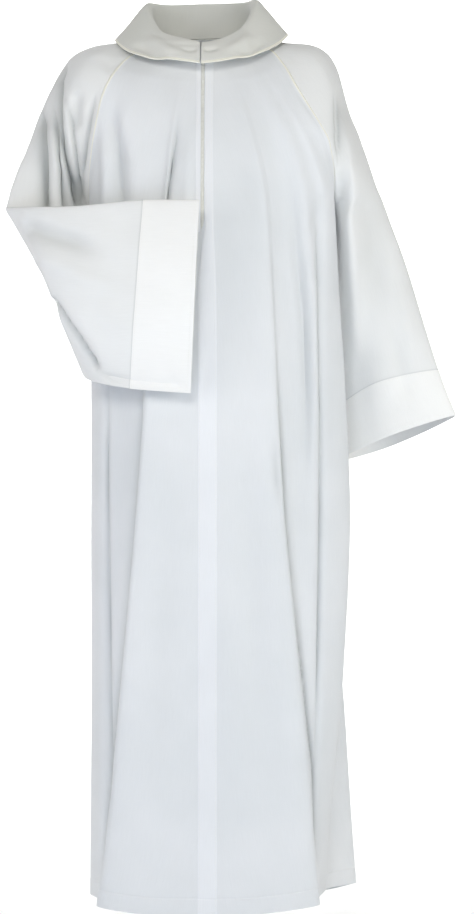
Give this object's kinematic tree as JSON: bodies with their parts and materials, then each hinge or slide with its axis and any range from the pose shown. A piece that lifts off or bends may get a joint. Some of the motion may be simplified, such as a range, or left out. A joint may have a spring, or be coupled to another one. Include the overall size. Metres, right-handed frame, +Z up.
{
  "type": "liturgical alb robe",
  "caption": "Long white raglan-sleeved robe in its worn form, with a wide turned-over collar, a zip at centre front, wide cuffs and a flared skirt.",
  "frame": {"origin": "middle of the neck at the height of the shoulder line, where the wearer's shoulders hold the robe", "axes": "+Z up, front of the robe towards -Y, the wearer's left arm towards +X"},
  "size_m": [0.7615, 0.4241, 1.5616],
  "materials": {
    "body cloth": "matt white polyester, plain weave",
    "sleeve cloth": "matt white polyester, plain weave",
    "collar cloth": "doubled matt cream-white polyester, topstitched edge",
    "cuff cloth": "doubled matt white polyester, stitched band",
    "fly cloth": "pressed matt cream-white polyester",
    "zip tape": "woven tape with a moulded nylon coil",
    "zip slider": "satin off-white paint on die-cast metal"
  },
  "bodies": {
    "root": {"front_left": "body cloth", "front_right": "body cloth", "back": "body cloth", "sleeve_left": "sleeve cloth", "sleeve_right": "sleeve cloth", "cuff_left": "cuff cloth", "cuff_right": "cuff cloth", "collar": "collar cloth", "fly_left": "fly cloth", "fly_right": "fly cloth", "zip": "zip tape", "zip_slider": "zip slider"}
  },
  "joints": []
}
